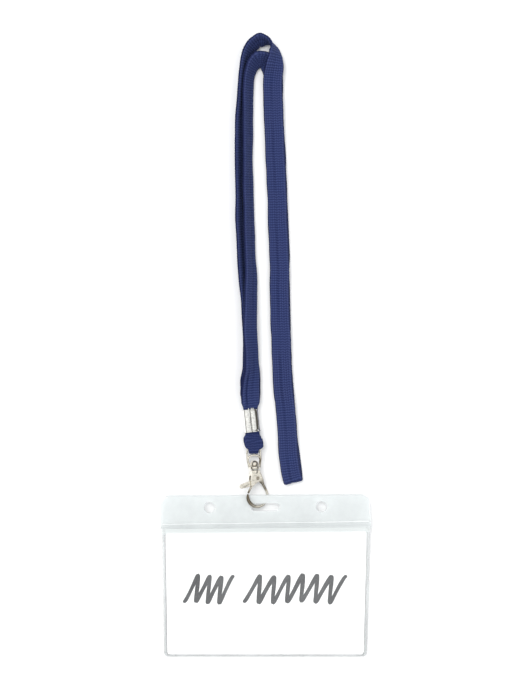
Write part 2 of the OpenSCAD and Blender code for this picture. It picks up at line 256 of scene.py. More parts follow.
def metal_look(name, pale, dull, smooth=0.13, rough=0.3, grain=0.016, hollow_darkening=0.5, shade_spots=()):
    """Plated metal: cloudy polish, casting grain, fine rubs, darker inner corners, and painted shade at the
    given spots.
    """
    tree, where, surface = look(name)
    cloud = noise(tree, where, 0.9, 4.0)
    grit = noise(tree, where, 9.0, 3.0)
    rubs = noise(tree, stretched(tree, where, (14.0, 1.1, 1.1)), 1.0, 2.0)
    edge = put(tree, "NewGeometry").outputs["Pointiness"]
    # Darker in hollows
    hollow_dark = span(tree, edge, 0.40, 0.5, hollow_darkening, 0.0)
    dull_share = plus(tree, hollow_dark, span(tree, cloud, 0.42, 0.75, 0.0, 0.35))
    # Painted shade: darker round each listed spot
    for spot, reach, strength in shade_spots:
        away = put(tree, "VectorMath", {0: where, 1: spot}, operation="DISTANCE").outputs["Value"]
        dull_share = plus(tree, dull_share, span(tree, away, reach * 0.4, reach, strength, 0.0))
    polish = plus(tree, span(tree, cloud, 0.3, 0.7, smooth, rough), span(tree, rubs, 0.4, 0.7, 0.0, 0.07))
    height = plus(tree, grit, times(tree, cloud, 2.5))
    return surface({
        "Base Color": between(tree, dull_share, (*pale, 1), (*dull, 1)),
        "Metallic": 1.0,
        "Roughness": polish,
        "Normal": bumped(tree, height, grain * MM, 0.8),
    })


# Places on the hook with painted shade, for dark reflections on its ring and the shade beside the stud, in
# millimetres, with each spot's reach and strength
SHADE_SPOT_TAB = ((-8.3, -76.0, 5.4), 6.4, 0.95)
SHADE_SPOT_CHEEK = ((-0.8, -69.6, 2.2), 4.4, 0.75)
SHADE_SPOT_STUD = ((-2.6, -57.5, 3.2), 3.2, 0.8)

# ---- vinyl materials


def line_mark(tree, parts, axis, level, rise, half, strength):
    """A straight mark along an axis, 0 for X or 1 for Y: level is its place and rise its slope."""
    line = plus(tree, level, times(tree, parts.outputs[axis], rise))
    return span(tree, gap(tree, parts.outputs[1 - axis], line), half * 0.4, half, strength, 0.0)


def vinyl_look(name, tint, clear, rough, grain, milk=0.0, line_marks=()):
    """Soft vinyl with a fine grain and long ripples. clear and rough are ranges of opacity and roughness."""
    tree, where, surface = look(name)
    cloud = noise(tree, where, 0.07, 4.0)
    grit = noise(tree, where, 5.5, 3.0)
    ripple = noise(tree, stretched(tree, where, (0.035, 0.11, 0.1)), 1.0, 2.0)
    opacity = span(tree, cloud, 0.3, 0.7, *clear)
    height = plus(tree, times(tree, grit, grain), times(tree, ripple, 2.0))
    pale = tuple(min(1.0, c * 1.05) for c in tint)
    colour = between(tree, cloud, (*tint, 1), (*pale, 1))
    parts = put(tree, "SeparateXYZ", {0: where})
    # Each mark mixes in its colour and more opacity along its line; on the clear film these are painted light
    # and painted shadow
    for shade, mark in line_marks:
        seam = line_mark(tree, parts, **mark)
        colour = between(tree, seam, colour, (*shade, 1))
        opacity = plus(tree, opacity, times(tree, seam, 0.5))
    return surface({
        "Base Color": colour,
        "Roughness": span(tree, grit, 0.3, 0.7, *rough),
        "Alpha": opacity,
        "IOR": 1.53,
        "Specular IOR Level": 0.5,
        "Subsurface Weight": milk,
        "Subsurface Radius": (0.002, 0.002, 0.002),
        "Subsurface Scale": 0.2,
        "Normal": bumped(tree, height, 0.02 * MM, 0.6),
    })


HEADER_SEAM = ((0.30, 0.33, 0.34), dict(axis=0, level=-90.2, rise=0.0125, half=0.34, strength=0.35))
HEADER_FOLD = ((0.52, 0.55, 0.56), dict(axis=0, level=-74.8, rise=0.006, half=0.6, strength=0.3))
# Painted light: a paler, more opaque band between the header and the card
LIP_PAINTED_LIGHT = ((0.83, 0.87, 0.87), dict(axis=0, level=-92.0, rise=0.012, half=2.4, strength=0.9))
# Painted shadow along the creases beside the card
LEFT_CREASE_SHADOW = ((0.40, 0.42, 0.43), dict(axis=1, level=-51.7, rise=-0.014, half=0.5, strength=0.42))
RIGHT_CREASE_SHADOW = ((0.45, 0.47, 0.48), dict(axis=1, level=53.6, rise=0.022, half=0.5, strength=0.30))

# ---- card, ink and floor materials


def card_look():
    """Uncoated white card: fibre flecks and a faint lay in its surface."""
    tree, where, surface = look("white_card_look")
    fibre = noise(tree, stretched(tree, where, (3.2, 1.1, 1.0)), 1.0, 5.0, 0.7)
    cloud = noise(tree, where, 0.05, 2.0)
    sheet_colour = between(tree, cloud, (0.93, 0.935, 0.94, 1), (0.965, 0.965, 0.96, 1))
    fleck = span(tree, fibre, 0.62, 0.8, 0.0, 0.35)
    return surface({
        "Base Color": between(tree, fleck, sheet_colour, (0.86, 0.86, 0.85, 1)),
        "Roughness": span(tree, fibre, 0.3, 0.7, 0.75, 0.92),
        "Specular IOR Level": 0.25,
        "Normal": bumped(tree, fibre, 0.02 * MM, 0.5),
    })


def ink_look():
    """Felt-pen ink: streaky along the stroke and drier in places."""
    tree, where, surface = look("pen_ink_look")
    streak = noise(tree, stretched(tree, where, (2.6, 0.7, 1.0)), 1.4, 4.0, 0.65)
    dry = noise(tree, where, 0.22, 2.0)
    tone = plus(tree, span(tree, streak, 0.3, 0.7, 0.0, 0.6), span(tree, dry, 0.35, 0.7, 0.0, 0.4))
    return surface({
        "Base Color": between(tree, tone, (0.038, 0.038, 0.042, 1), (0.09, 0.09, 0.095, 1)),
        "Roughness": span(tree, streak, 0.3, 0.7, 0.45, 0.7),
        "Specular IOR Level": 0.35,
        "Normal": bumped(tree, streak, 0.01 * MM, 0.5),
    })


def floor_look():
    tree, where, surface = look("floor_look")
    mottle = noise(tree, where, 0.02, 3.0)
    return surface({
        "Base Color": between(tree, mottle, (0.90, 0.905, 0.915, 1), (0.93, 0.93, 0.935, 1)),
        "Roughness": 0.9,
        "Specular IOR Level": 0.1,
    })


KNIT = knit_look()
NICKEL = metal_look(
    "nickel_plate_look", (0.95, 0.95, 0.935), (0.40, 0.39, 0.36),
    smooth=0.05, rough=0.13, grain=0.004,
)
HOOK_METAL = metal_look(
    "hook_metal_look", (0.95, 0.91, 0.82), (0.22, 0.185, 0.14),
    smooth=0.07, rough=0.17, grain=0.012, hollow_darkening=0.95, shade_spots=[SHADE_SPOT_TAB, SHADE_SPOT_CHEEK, SHADE_SPOT_STUD],
)
RIVET_METAL = metal_look(
    "rivet_metal_look", (0.66, 0.60, 0.50), (0.25, 0.21, 0.16),
    smooth=0.22, rough=0.4, grain=0.024, hollow_darkening=0.8,
)
SPRING_STEEL = metal_look("spring_steel_look", (0.5, 0.49, 0.47), (0.2, 0.18, 0.16), smooth=0.2, rough=0.38)
FROSTED = vinyl_look(
    "frosted_vinyl_look", (0.81, 0.845, 0.852),
    clear=(0.34, 0.44), rough=(0.3, 0.48), grain=1.0, milk=0.1, line_marks=[HEADER_SEAM, HEADER_FOLD],
)
# A whiter, more opaque copy of the vinyl for the zip's beads: a painted highlight
RIDGE_HIGHLIGHT = vinyl_look("zip_ridge_highlight_look", (0.93, 0.96, 0.97), clear=(0.5, 0.66), rough=(0.12, 0.3), grain=0.6)
CLEAR = vinyl_look(
    "clear_vinyl_look", (0.90, 0.94, 0.95),
    clear=(0.03, 0.055), rough=(0.07, 0.14), grain=0.12, line_marks=[LIP_PAINTED_LIGHT, LEFT_CREASE_SHADOW, RIGHT_CREASE_SHADOW],
)
WELD = vinyl_look("weld_vinyl_look", (0.90, 0.92, 0.93), clear=(0.2, 0.36), rough=(0.25, 0.5), grain=1.6)
CARD = card_look()
INK = ink_look()

# ---- shape helpers, in millimetres


def finished(name, points, faces, material, body, slot, *nodes, at=None, smooth=True, uv=None):
    """A mesh piece made from millimetre points, in place on its body and standing for its CAD nodes."""
    points = np.asarray(points, float)
    if at is not None:
        place = np.array(at, float)
        points = points @ place[:3, :3].T + place[:3, 3]
    mesh = bpy.data.meshes.new(name)
    mesh.from_pydata((points * MM).tolist(), [], [list(f) for f in faces])
    mesh.polygons.foreach_set("use_smooth", [smooth] * len(mesh.polygons))
    if uv is not None:
        layer = mesh.uv_layers.new(name="knit")
        corner = np.zeros(len(mesh.loops), np.int32)
        mesh.loops.foreach_get("vertex_index", corner)
        layer.data.foreach_set("uv", np.asarray(uv, np.float32)[corner].ravel())
    mesh.materials.append(material)
    piece = placed(name, mesh)
    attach(piece, body)
    if nodes:
        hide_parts(*nodes)
    return piece


def shaped(thing):
    """The mesh that an object's modifiers or its curve make."""
    return thing.evaluated_get(bpy.context.evaluated_depsgraph_get()).to_mesh()


def turned(degrees, axis):
    return Matrix.Rotation(math.radians(degrees), 4, axis)


def moved(x, y, z):
    return Matrix.Translation((x, y, z))


def on_circle(centre, r, degrees):
    turn = math.radians(degrees)
    return centre[0] + r * math.cos(turn), centre[1] + r * math.sin(turn)


def arc(centre, r, start, end, steps):
    return [on_circle(centre, r, a) for a in np.linspace(start, end, steps)]


def disc(centre, r, steps=40):
    return arc(centre, r, 0, 360 - 360 / steps, steps)


def in_space(path):
    """The points of a path, with Z 0 where a point has none."""
    return np.array([p if len(p) == 3 else (*p, 0.0) for p in path], float)


def walk(points):
    """How far along a line each of its points is."""
    return np.concatenate([[0], np.cumsum(np.linalg.norm(np.diff(points, axis=0), axis=1))])


def normal_rows(vectors):
    return vectors / np.linalg.norm(vectors, axis=1)[:, None]


def bump(value, middle, half):
    """A rounded hump, 1 at its middle, and about a third at the distance half from it."""
    return np.exp(-(((value - middle) / half) ** 2))


def flowing(values, knots, where):
    """A smooth curve through the values that never swings past them."""
    values = np.asarray(values, float)
    gaps = np.diff(knots)
    slopes = np.diff(values, axis=0) / gaps[:, None]
    before, after = slopes[:-1], slopes[1:]
    near = (before * gaps[1:, None] + after * gaps[:-1, None]) / (gaps[:-1] + gaps[1:])[:, None]
    limit = 3 * np.minimum(np.abs(before), np.abs(after)) * (before * after > 0)
    tangents = np.vstack([slopes[:1], np.clip(near, -limit, limit), slopes[-1:]])
    i = np.clip(np.searchsorted(knots, where, side="right") - 1, 0, len(gaps) - 1)
    h = gaps[i][:, None]
    t = ((where - knots[i]) / gaps[i])[:, None]
    return (
        (2 * t**3 - 3 * t**2 + 1) * values[i]
        + (t**3 - 2 * t**2 + t) * h * tangents[i]
        + (3 * t**2 - 2 * t**3) * values[i + 1]
        + (t**3 - t**2) * h * tangents[i + 1]
    )


def eased(path, steps=8):
    """A smooth line through a few points."""
    path = in_space(path)
    knots = walk(path)
    return flowing(path, knots, np.linspace(0, knots[-1] - 1e-9, steps * len(path)))


def tapered(path, *stops):
    """A radius for each point of a path. Each stop is a share of the points and the radius there."""
    return np.interp(np.linspace(0, 1, len(path)), *zip(*stops))


def ring_faces(rows, sides, mirrored=False):
    """Faces between rings of points, and one across each end. Mirrored rings run the other way round."""
    faces = []
    for row in range(rows - 1):
        for k in range(sides):
            a, b = row * sides + k, row * sides + (k + 1) % sides
            faces.append((a, a + sides, b + sides, b) if mirrored else (a, b, b + sides, a + sides))
    ends = [tuple(range(sides))[::-1], tuple(range((rows - 1) * sides, rows * sides))]
    return faces + ([end[::-1] for end in ends] if mirrored else ends)


# The rings of a bar's domed end, as shares of a right angle, and the least radius as a share of the bar's
DOME, DOME_TIP = (0.35, 0.7, 0.92, 1.0), 0.03


def tube(path, radii, sides=20, squeeze=None):
    """A closed round bar along a path, with domed ends. squeeze flattens it along Z to that share."""
    path = in_space(path)
    radii = np.ones(len(path)) * radii
    run = normal_rows(np.gradient(path, axis=0))

    def dome(i, sign):
        for bend in DOME:
            turn = bend * math.pi / 2
            centre = path[i] + sign * run[i] * radii[i] * math.sin(turn)
            yield centre, radii[i] * max(math.cos(turn), DOME_TIP), run[i]

    rows = list(dome(0, -1))[::-1] + list(zip(path, radii, run)) + list(dome(-1, 1))
    side = np.cross(rows[0][2], (0, 0, 1.0))
    points = []
    for centre, r, along in rows:
        side = side - (side @ along) * along
        side /= np.linalg.norm(side)
        up = np.cross(along, side)
        for k in range(sides):
            a = 2 * math.pi * k / sides
            offset = r * (math.cos(a) * side + math.sin(a) * up)
            if squeeze is not None:
                offset = offset * (1, 1, squeeze)
            points.append(centre + offset)
    return points, ring_faces(len(rows), sides)


def prism(outline, low, high):
    """A closed slab of a flat outline."""
    n = len(outline)
    points = [(x, y, low) for x, y in outline] + [(x, y, high) for x, y in outline]
    faces = [tuple(range(n))[::-1], tuple(range(n, 2 * n))]
    faces += [(k, (k + 1) % n, n + (k + 1) % n, n + k) for k in range(n)]
    return points, faces


def lathe(profile, sides=64, axis="Y", wave=None):
    """A turned shape. Its (radius, height) points start and end on the axis, or on each other."""
    points, faces, rings = [], [], []
    for r, v in profile:
        ring = []
        for k in range(sides if r > 1e-6 else 1):
            a = 2 * math.pi * k / sides
            waved = r * (1 + (wave(a, v) if wave else 0))
            ring.append(len(points))
            c, s = waved * math.cos(a), waved * math.sin(a)
            points.append((c, v, -s) if axis == "Y" else (c, s, v))
        rings.append(ring)
    for lower, upper in zip(rings, rings[1:]):
        for k in range(sides):
            q = (k + 1) % sides
            corners = [lower[k % len(lower)], lower[q % len(lower)]]
            corners += [upper[q % len(upper)], upper[k % len(upper)]]
            faces.append(tuple(dict.fromkeys(corners)))
    return points, faces


def rounded(profile, r, steps=4):
    """The profile with its inner corners rounded to radius r."""
    out = [profile[0]]
    for before, here, after in zip(profile, profile[1:], profile[2:]):
        b, h, a = (np.array(q, float) for q in (before, here, after))
        cut = min(r, np.linalg.norm(b - h) / 2.1, np.linalg.norm(a - h) / 2.1)
        p = h + (b - h) / np.linalg.norm(b - h) * cut
        q = h + (a - h) / np.linalg.norm(a - h) * cut
        for t in np.linspace(0, 1, steps):
            out.append(tuple((1 - t) ** 2 * p + 2 * t * (1 - t) * h + t * t * q))
    return out + [profile[-1]]


def cast(name, parts, body, node, at, voxel=0.11, passes=5):
    """Overlapping closed shapes melted into one casting with soft corners."""
    points, faces = [], []
    for some_points, some_faces in parts:
        faces += [tuple(i + len(points) for i in face) for face in some_faces]
        points += [tuple(map(float, p)) for p in some_points]
    mesh = bpy.data.meshes.new(name + "_rough")
    mesh.from_pydata(points, [], faces)
    helper = bmesh.new()
    helper.from_mesh(mesh)
    bmesh.ops.triangulate(helper, faces=helper.faces)
    helper.to_mesh(mesh)
    helper.free()
    rough = placed(name + "_rough", mesh)
    melt = rough.modifiers.new("melt", "REMESH")
    melt.mode = "VOXEL"
    melt.voxel_size = voxel
    soften = rough.modifiers.new("soften", "SMOOTH")
    soften.factor = 0.5
    soften.iterations = passes
    cooled = shaped(rough)
    points = [tuple(v.co) for v in cooled.vertices]
    faces = [tuple(p.vertices) for p in cooled.polygons]
    bpy.data.objects.remove(rough)
    finished(name, points, faces, HOOK_METAL, body, "hook_metal", node, at=at)


# ---- neck strap

# The route of part.scad, in millimetres and degrees: place, and heading and lift of the strap's width, then
# its width and thickness where it is pressed
STRAP_W, STRAP_T = 9.8, 1.6
ROUTE = [
    (-7.7, -32.4, 2.65, 180, 20, 6.8, 1.05), (-6.5, -43.6, 2.65, 180, 20, 6.8, 1.05),
    (-6.1, -46.5, 2.3, 180, 10, 9.2, 1.3), (-5.8, -49, 2.1, 180, 3, 8.8, 1.3),
    (-5.6, -51.9, 2.1, 180, 0, 4.9, 1.3), (-5.6, -53, 2.5, 180, 0, 4.9, 1.3),
    (-5.6, -53.4, 3.6, 180, 0, 4.9, 1.3), (-5.6, -53, 4.7, 180, 0, 4.9, 1.3),
    (-5.6, -51.9, 5.1, 180, 0, 4.9, 1.3), (-5.6, -49, 5.1, 180, 3, 9.2, 1.3),
    (-6, -46.5, 5, 180, 10, 9.7, 1.4), (-5.8, -43.6, 4.75, 180, 20, 6.8, 1.05),
    (-7.1, -31.2, 4.75, 180, 20, 6.8, 1.05), (-7.2, -28.5, 5.1, 180, 21, 8.6, 1.4),
    (-7.4, -18, 5.6, 180, 33), (-7.2, -10, 6.7, 180, 44), (-7.2, 5, 7, 180, 48), (-7.1, 18, 6.6, 180, 50),
    (-6.9, 35, 5.4, 180, 53), (-7.5, 50, 5.1, 180, 58), (-8.1, 70, 4.9, 180, 61), (-8.5, 98, 4.9, 180, 61),
    (-8.2, 129, 4.9, 176, 61), (-7.3, 137, 4.7, 150, 56), (-5.6, 140.8, 4.5, 130, 46),
    (-2.8, 143.2, 4.2, 106, 38), (0.5, 142.7, 3.6, 75, 35), (3, 139.6, 2.1, 38, 14),
    (4.2, 134.8, 1.1, 10, 3), (4.1, 128, 0.9, 0, 0), (5.6, 95, 0.85, 0, 0), (7.4, 50, 0.85, 0, 0),
    (8.2, 5, 0.85, 0, 0), (9.2, -17, 0.85, 3, 0), (10.9, -37, 0.85, 5, 0), (12.9, -57, 0.85, 7, 0),
    (14.1, -66.6, 0.85, 11, 0, STRAP_W, 1.5), (14.2, -67.5, 1.1, 12, 0, STRAP_W, 1.5),
    (14.2, -67.9, 1.75, 12, 0, STRAP_W, 1.5), (14.1, -67.5, 2.4, 12, 0, STRAP_W, 1.5),
    (13.8, -66.6, 2.65, 11, 0, STRAP_W, 1.5), (12.3, -57, 2.65, 7, 0), (10.8, -37, 2.65, 5, 0),
    (9, -17, 2.65, 3, 0), (8, 5, 2.65, 0, 0), (7, 50, 2.65, 0, 0), (5.3, 95, 2.65, 0, 0),
    (4.1, 128, 2.8, 0, 0), (4.4, 136, 4.1, 0, -9), (5, 141, 5.9, 0, -28), (5.3, 144.6, 6, 0, -46),
    (5, 147.8, 5.4, 0, -61), (3.5, 150.8, 5, 0, -81), (0.9, 152.4, 4.9, -100, -74),
    (-2.2, 152.8, 4.6, -90, -54), (-5.2, 150.9, 4.6, -60, -54), (-7.8, 147.6, 4.7, -36, -58),
    (-9.3, 143.4, 4.8, -18, -60), (-10.2, 138, 4.9, -6, -63), (-11.2, 129, 4.9, 0, -63),
    (-12.4, 98, 4.9, 0, -63), (-12.2, 70, 4.9, 0, -62), (-11.3, 50, 4.9, 0, -59), (-10.2, 35, 4.6, 0, -55),
    (-8.4, 18, 4.3, 0, -50), (-7.7, 5, 4.2, 0, -48), (-7.3, -10, 4.1, 0, -44), (-8, -18, 3.6, 0, -33),
    (-7.7, -28.5, 3.5, 0, -21, 8.6, 1.4), (-7.5, -31.2, 3.7, 0, -20, 6.8, 1.05),
    (-6.3, -42, 3.7, 0, -20, 6.8, 1.05),
]
# Rows of ROUTE at the front of the loop round the bail, and at the fold beside the holder
BAIL_ROW, FOLD_ROW = 8, 38
# Where the cross-section has its points, as shares of half the width
COLUMNS = (-1, -0.92, -0.76, -0.55, -0.34, -0.2, -0.08, 0.12, 0.34, 0.48, 0.62, 0.78, 0.92, 1)
ROWS_PER_RIB, ROUTE_STEP, TABLE_GAP = 5, 0.05, 0.03
# A strap this narrow doesn't sway
PINCHED_W = 8.6

# Extra width, slip to one side and share of the crease: distance along the strap, and amount
SPREAD = ((43, 0), (45.5, 0.45), (48, 0.6), (52.5, 2.0), (58.5, 1.8), (64.5, 0.9), (80, 0))
SLIP = ((43, 0), (45.5, 0.2), (48, 0.45), (52.5, 0.2), (58.5, 0.4), (64.5, 1.0), (72, 0.8), (84, 0))
CREASED = ((44, 0), (50, 1), (60, 1), (68, 0))
# How far the loop's front is past its row, and its extra width and slip
FRONT, FRONT_WIDTH, FRONT_SLIP = 1.3, 2.0, 0.35

# Small waves where the strap is free: height, length over 2 pi, and start. ROLL is in degrees
ROLL = ((1.6, 8.7, 0.6), (1.1, 3.9, 2.1))
DRIFT = ((0.1, 6.1, 0), (0.07, 2.7, 1))
BREADTH = ((0.1, 4.3, 2), (0.06, 1.9, 0))

# The cross-section: how sharp its corners are, what the fold adds, and places as shares of half the width
CORNER, FOLD_CORNER, FOLD_HALF = 5, 9, 1.5
RIB_RISE = 0.07
SHOULDER_AT, SHOULDER_HALF, SHOULDER_RISE = 0.78, 0.13, 0.1
VALLEY_AT, VALLEY_SWAY, VALLEY_LENGTH, VALLEY_DEPTH = -0.17, 0.05, 31, 0.3
CREASE_AT, CREASE_DEPTH = 0.48, 0.35
LINE_HALF = 0.09


def ripple(at, waves):
    return sum(size * np.sin(at / length + start) for size, length, start in waves)


def strap_edge(centre, run, aim, along, free, slip):
    """The strap's middle line, and the directions of its width and its face, with a slight sway."""
    side = normal_rows(aim - np.sum(aim * run, 1)[:, None] * run)
    face = np.cross(run, side)
    centre = centre - side * slip[:, None]
    roll = free * np.radians(ripple(along, ROLL))
    side, face = (
        side * np.cos(roll)[:, None] + face * np.sin(roll)[:, None],
        face * np.cos(roll)[:, None] - side * np.sin(roll)[:, None],
    )
    return centre + side * (free * ripple(along, DRIFT))[:, None], side, face


def neck_strap():
    """The flattened tube of knit along its route, ribbed, grooved and creased."""
    rows = np.array([(*row, STRAP_W, STRAP_T)[:7] for row in ROUTE], float)
    turn, lift = np.radians(rows[:, 3]), np.radians(rows[:, 4])
    aims = np.stack([np.cos(lift) * np.cos(turn), np.cos(lift) * np.sin(turn), np.sin(lift)], 1)
    knots = walk(rows[:, :3])
    fine = np.arange(0, knots[-1], ROUTE_STEP)
    walked = walk(flowing(rows[:, :3], knots, fine))
    length = walked[-1]
    along = np.arange(0, length, RIB_PITCH / ROWS_PER_RIB)
    knot = np.interp(along, walked, fine)
    width = np.interp(knot, knots, rows[:, 5])
    thick = np.interp(knot, knots, rows[:, 6])
    free = np.clip((width - PINCHED_W) / (STRAP_W - PINCHED_W), 0, 1)
    front = bump(knot - knots[BAIL_ROW], FRONT, FRONT)
    width = width + FRONT_WIDTH * front + np.interp(along, *zip(*SPREAD)) + free * ripple(along, BREADTH)
    centre = flowing(rows[:, :3], knots, knot)
    run, aim = normal_rows(np.gradient(centre, axis=0)), normal_rows(flowing(aims, knots, knot))
    slip = FRONT_SLIP * front + np.interp(along, *zip(*SLIP))
    centre, side, face = strap_edge(centre, run, aim, along, free, slip)

    rib = RIB_RISE * np.cos(2 * math.pi * along / RIB_PITCH)
    valley = VALLEY_AT + VALLEY_SWAY * np.sin(along / VALLEY_LENGTH)
    corner = CORNER + FOLD_CORNER * bump(knot, knots[FOLD_ROW], FOLD_HALF)
    creased = CREASE_DEPTH * np.interp(along, *zip(*CREASED))
    ring = [(x, 1) for x in COLUMNS] + [(x, -1) for x in COLUMNS[-2:0:-1]]
    points = np.zeros((len(along), len(ring), 3))
    uv = np.zeros((len(along), len(ring), 2))
    for k, (x, up) in enumerate(ring):
        body = np.sqrt(1 - abs(x) ** corner) * thick / 2
        pressed = SHOULDER_RISE * bump(abs(x), SHOULDER_AT, SHOULDER_HALF)
        pressed = pressed - VALLEY_DEPTH * bump(x, valley, LINE_HALF)
        if up > 0:
            pressed = pressed - creased * bump(x, CREASE_AT, LINE_HALF)
        edge = abs(x) ** 6
        height = body + pressed * thick / STRAP_T + rib * (1 - edge)
        across = x * (width / 2 + rib * 0.5 * edge)
        points[:, k] = centre + side * across[:, None] + face * (up * height)[:, None]
        uv[:, k, 0] = x * width / 2
        uv[:, k, 1] = along
    points[:, :, 2] = np.maximum(points[:, :, 2], TABLE_GAP)
    faces = ring_faces(len(along), len(ring), mirrored=True)
    points, uv = points.reshape(-1, 3), uv.reshape(-1, 2)
    piece = finished("strap_knit", points, faces, KNIT, "lanyard", "strap_knit", "neck_strap", uv=uv)


neck_strap()

# ---- crimp sleeve

CRIMP = moved(-6.8, -37.4, 3.7) @ turned(6, "Z") @ turned(20, "Y")
CRIMP_W, CRIMP_T, CRIMP_LEN, CRIMP_SHEET = 8.0, 4.45, 11.4, 0.5
HALF_W, HALF_T = CRIMP_W / 2 - CRIMP_SHEET / 2, CRIMP_T / 2 - CRIMP_SHEET / 2
# Each end's place, how high it curls, and how far along the sleeve. It curls less left of the seam
CRIMP_CURLS = ((-0.5, 0.5, 0.07), (0.5, 0.22, 0.05))
SEAM_X, LEFT_CURL = -0.3, 0.35
FLARE, FLARE_POWER = 0.12, 8
BULGE, BULGE_AT, BULGE_HALF = 0.24, -2.1, 1.2
# Places across and along the sleeve, and depths
DENTS = ((-1.5, 0.3, 0.08), (-2.9, -0.05, 0.05), (-1.4, -0.28, 0.08), (0.9, 0.1, 0.04))
DENT_HALF_X, DENT_HALF_Y = 0.5, 0.07
TEETH = (-1.55, -0.05, 0.85)
TOOTH = ((-0.45, -0.4, 0.1), (0.45, -0.4, 0.1), (0.18, 0.45, 0.06), (0, 0.8, -0.02), (-0.18, 0.45, 0.06))


def crimp_line():
    """The sheet's middle line, from the seam to the right, round the back, and to the seam again."""
    w, t = HALF_W, HALF_T
    line = [(-0.42, t - 0.7), (-0.4, t - 0.3), (-0.28, t - 0.02), (0.05, t + 0.1), (0.9, t + 0.13)]
    line += [(1.5, t + 0.1), (1.9, t - 0.03), (2.6, t - 0.3), (3.3, t - 0.56), (3.52, t - 0.72)]
    line += [(3.66, t - 1.1), (3.7, 0.0), (3.7, 0.9 - t)]
    for sx, sy, start, r in ((1, -1, 0, 1.1), (-1, -1, -90, 1.1), (-1, 1, -180, 0.6)):
        line += arc((sx * (w - r), sy * (t - r)), r, start, start - 90, 7)
    line += [(-2.4, t + 0.1), (-1.95, t + 0.1), (-1.78, t + 0.02), (-1.6, t + 0.1), (-1.2, t + 0.1)]
    return line + [(-0.98, t + 0.02), (-0.88, t - 0.25), (-0.86, t - 0.7)]


def crimp_sleeve():
    """Sheet wrapped round the strap: its edges meet and curl in at the front, and its ends flare."""
    line = crimp_line()
    stations = np.linspace(-0.5, 0.5, 41)
    points, faces = [], []
    for v in stations:
        flare = FLARE * abs(2 * v) ** FLARE_POWER
        curl = sum(rise * bump(v, end, half) for end, rise, half in CRIMP_CURLS)
        for x, y in line:
            lift = BULGE * math.cos(math.pi * v) * bump(x, BULGE_AT, BULGE_HALF)
            for dent_x, dent_v, depth in DENTS:
                lift -= depth * bump(x, dent_x, DENT_HALF_X) * bump(v, dent_v, DENT_HALF_Y)
            lift += curl * (1 if x > SEAM_X else LEFT_CURL) + flare
            points.append((x * (1 + flare / 4), v * CRIMP_LEN, y + (lift if y > 0 else -flare)))
    n = len(line)
    for row in range(len(stations) - 1):
        for a in range(row * n, row * n + n - 1):
            faces.append((a, a + 1, a + n + 1, a + n))
    for tooth_x in TEETH:
        faces.append(tuple(range(len(points), len(points) + len(TOOTH))))
        points += [(tooth_x + x, CRIMP_LEN / 2 + y, HALF_T + z) for x, y, z in TOOTH]
    slot, node = "nickel_plate", "crimp_sleeve"
    piece = finished("crimp_sheet", points, faces, NICKEL, "lanyard", slot, node, at=CRIMP)
    plate = piece.modifiers.new("sheet", "SOLIDIFY")
    plate.thickness = CRIMP_SHEET * 0.9 * MM
    plate.offset = 0
    soft = piece.modifiers.new("soft_edges", "BEVEL")
    soft.width = 0.09 * MM
    soft.segments = 2
    soft.limit_method = "ANGLE"


crimp_sleeve()

# ---- swivel and hook

# The bail's frame starts at its bow, with Y along the hook, and the hook is turned in it
BOW = moved(-5.65, -51.9, 3.6) @ turned(3.4, "Z")
HOOK = BOW @ turned(25, "Y")
PIVOT = (0.7, -14.3)
RING_MID, RING_R, RING_START, RING_END = (0.75, -23.2), 5.4, 25, -190
BASE_LOW, BASE_TOP, BORE_R = -9.62, -8.2, 1.12

CHEEK = [
    (2.1, -11.3), (2.6, -12.0), (3.2, -13.4), (3.75, -15.2), (4.0, -17.0), (3.3, -17.2), (2.7, -16.4),
    (1.9, -16.0), (0.8, -16.3), (-0.4, -17.0), (-1.4, -17.8), (-2.5, -18.6), (-3.05, -17.7), (-3.1, -16.2),
    (-2.95, -14.4), (-2.55, -12.6), (-2.0, -11.3),
]
CROWN = [(-2.05, -10.35), (-2.55, -12.9), (2.9, -12.9), (2.2, -10.35)]
RAIL = [(2.3, -12.2), (2.5, -15.2), (3.4, -17.4), (4.15, -17.4), (3.75, -15.4), (3.0, -12.2)]
TAB = [
    (0.2, -15.4), (-2.2, -18.2), (-3.9, -18.3), (-5.6, -18.6), (-7.6, -18.9), (-8.5, -18.75), (-8.95, -18.1),
    (-8.8, -17.3), (-8.1, -16.7), (-6.4, -16.2), (-3.9, -15.6), (-0.4, -13.7),
]
CHEEK_Z, CROWN_Z, RAIL_Z, TAB_Z = (0.85, 1.7), 1.66, 1.45, (-0.32, 0.72)


def swivel_bail():
    """A bow, two arms with a bridge between them, and the turned ring that the stud goes through."""
    arms = []
    for s in (-1, 1):
        outer = [(2.6, 0.02), (3.12, -0.35), (3.28, -1.9), (3.26, -4.2), (2.95, -6.4), (2.5, -8.9)]
        path = eased([(x * s, y) for x, y in outer])
        arms.append(tube(path, tapered(path, (0, 0.46), (0.12, 0.5), (0.5, 0.56), (1, 0.66))))
    bow = tube([(-2.7, 0), (-1, 0.02), (1, 0.02), (2.7, 0)], 0.54)
    bridge = [(-3.0, -4.6), (-2.3, -3.4), (-1.1, -2.85), (0.3, -2.7), (1.6, -2.95), (2.5, -3.6), (3.0, -4.7)]
    ring = [(2.5, BASE_LOW), (2.72, -9.45), (2.76, -9.0), (2.68, -8.5), (2.4, -8.24)]
    base = lathe([(0, BASE_LOW), (BORE_R, BASE_LOW)] + ring + [(BORE_R, BASE_TOP), (0, BASE_TOP)])
    parts = [*arms, bow, tube(eased(bridge), 0.5, squeeze=0.85), base]
    cast("bail_casting", parts, "bail", "swivel_bail", BOW)


